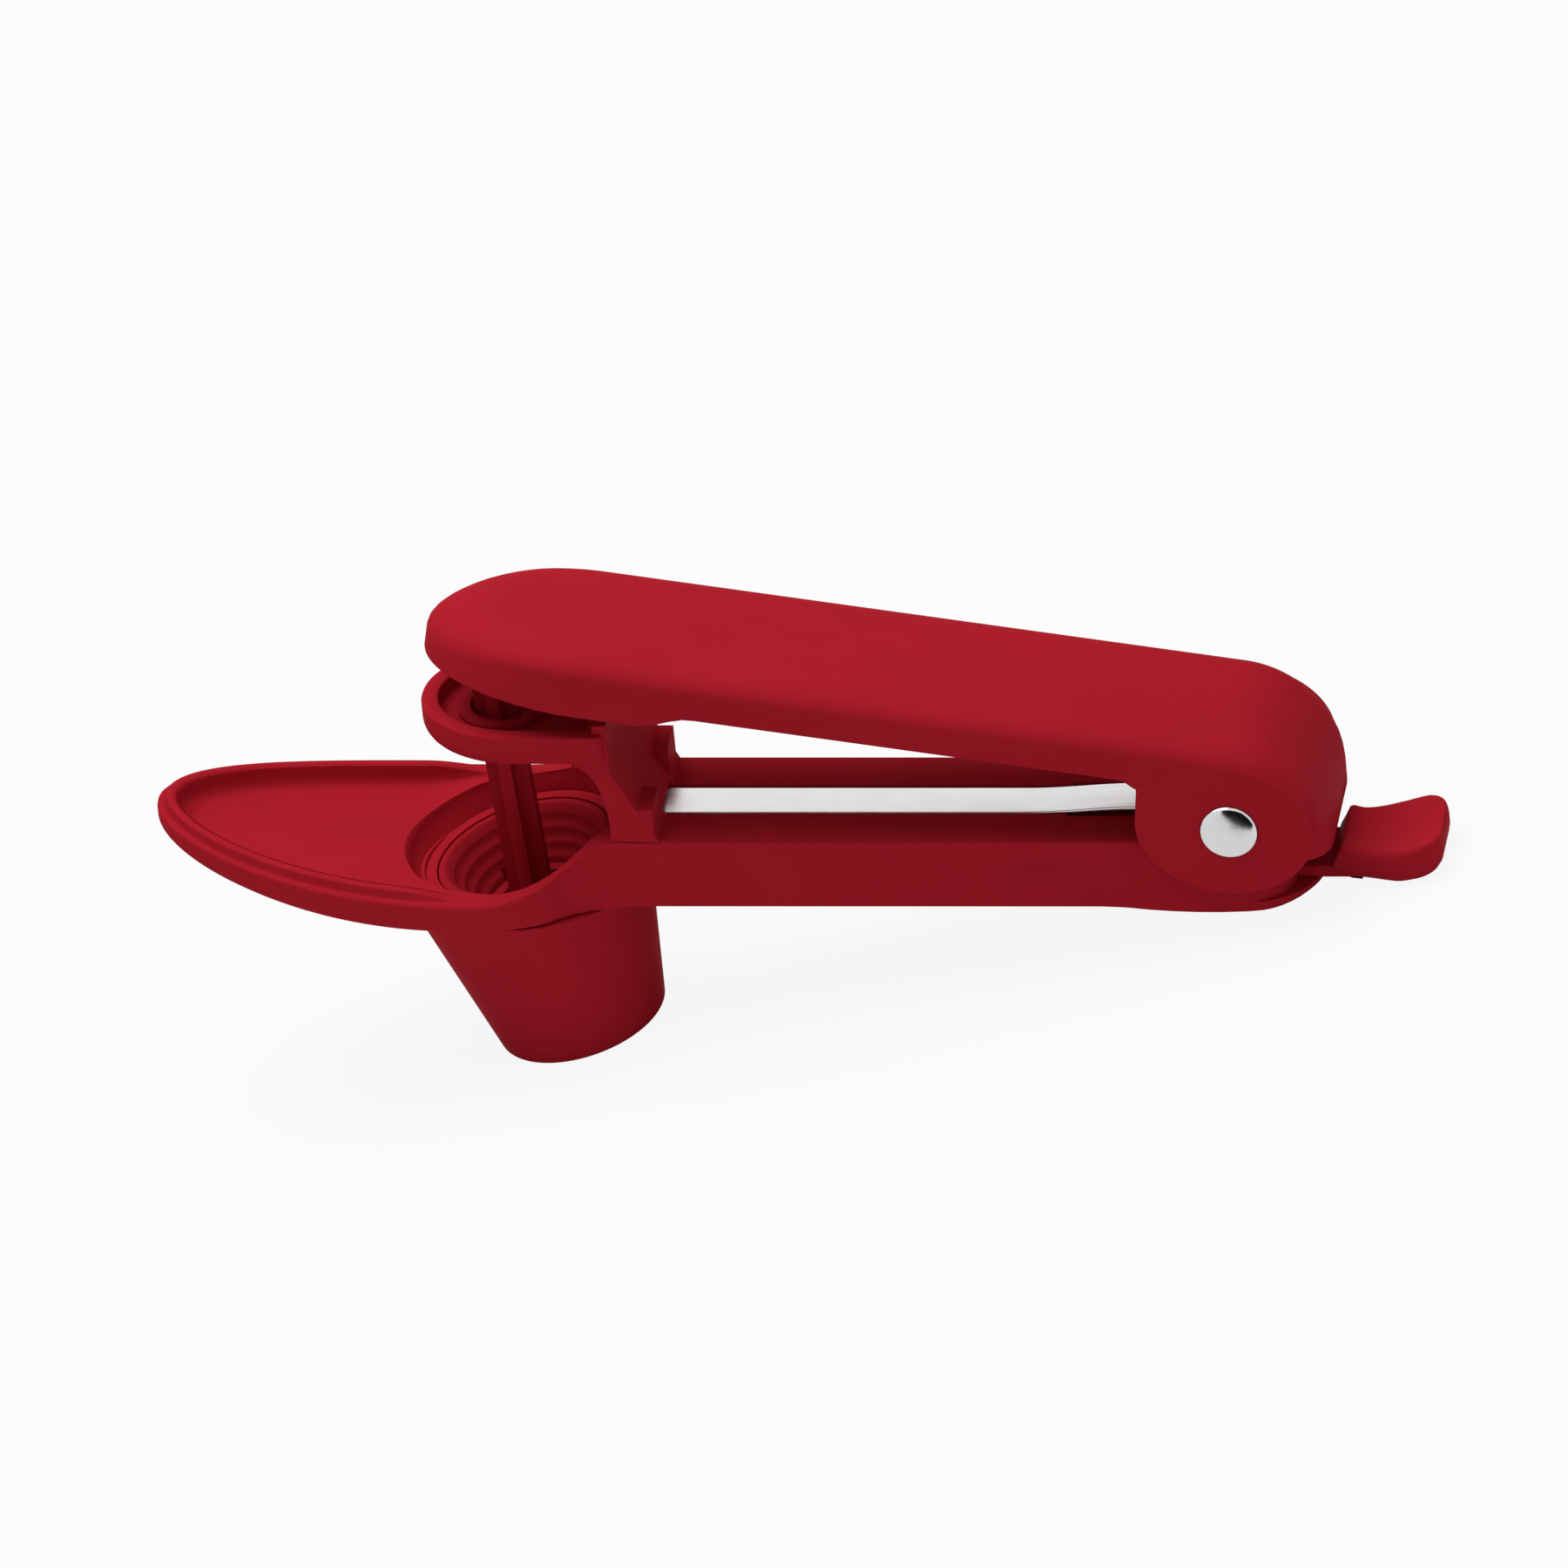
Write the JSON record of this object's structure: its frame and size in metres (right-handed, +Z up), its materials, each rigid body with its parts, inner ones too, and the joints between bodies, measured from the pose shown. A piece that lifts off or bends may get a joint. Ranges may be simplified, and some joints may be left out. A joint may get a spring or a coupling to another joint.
{
  "type": "cherry pitter",
  "caption": "Hand-held cherry pitter: a hinged lever drives a finned plunger through a stripper plate and cup, with loading tray, pit chute, leaf spring and slide lock.",
  "frame": {"origin": "middle of the chute's foot, on the table that the tool stands on", "axes": "+Z up along the pitting axis, +X along the tool towards the pivot and the lock, +Y to the far side"},
  "size_m": [0.188, 0.04, 0.0745],
  "materials": {
    "red_moulding": "polished deep red moulding",
    "red_seat": "polished deep red moulding",
    "spring_steel": "rolled bright spring steel",
    "pin_steel": "polished",
    "screw_steel": "plated",
    "washer_plastic": "natural"
  },
  "bodies": {
    "base": {"base_body": "red_moulding", "cherry_seat": "red_seat", "pit_chute": "red_moulding", "stripper_bracket": "red_moulding", "guide_bush": "red_seat", "bracket_screws": "screw_steel", "spring_screw": "screw_steel", "pivot_pin": "pin_steel", "pin_cap": "pin_steel", "pivot_washers": "washer_plastic", "lock_stop_pin": "screw_steel"},
    "lever": {"lever_shell": "red_moulding", "plunger": "red_moulding", "plunger_pin": "screw_steel"},
    "spring": {"leaf_spring": "spring_steel"},
    "lock": {"lock_slider": "red_moulding"}
  },
  "joints": [
    {"name": "lever_hinge", "type": "hinge", "parent": "base", "child": "lever", "pos_m": [0.10861, 0, 0.01897], "axis": [0, 1, 0], "range_deg": [0, 20]},
    {"name": "leaf_flex", "type": "hinge", "parent": "base", "child": "spring", "pos_m": [0.01554, 0, 0.03479], "axis": [0, 1, 0], "range_deg": [-3.2, 0]},
    {"name": "lock_slide", "type": "slide", "parent": "base", "child": "lock", "axis": [0.977, 0, -0.2133], "range_m": [-0.0015, 0]}
  ],
  "couplings": [
    {"joint": "leaf_flex", "follows": "lever_hinge", "ratio": -0.155}
  ]
}
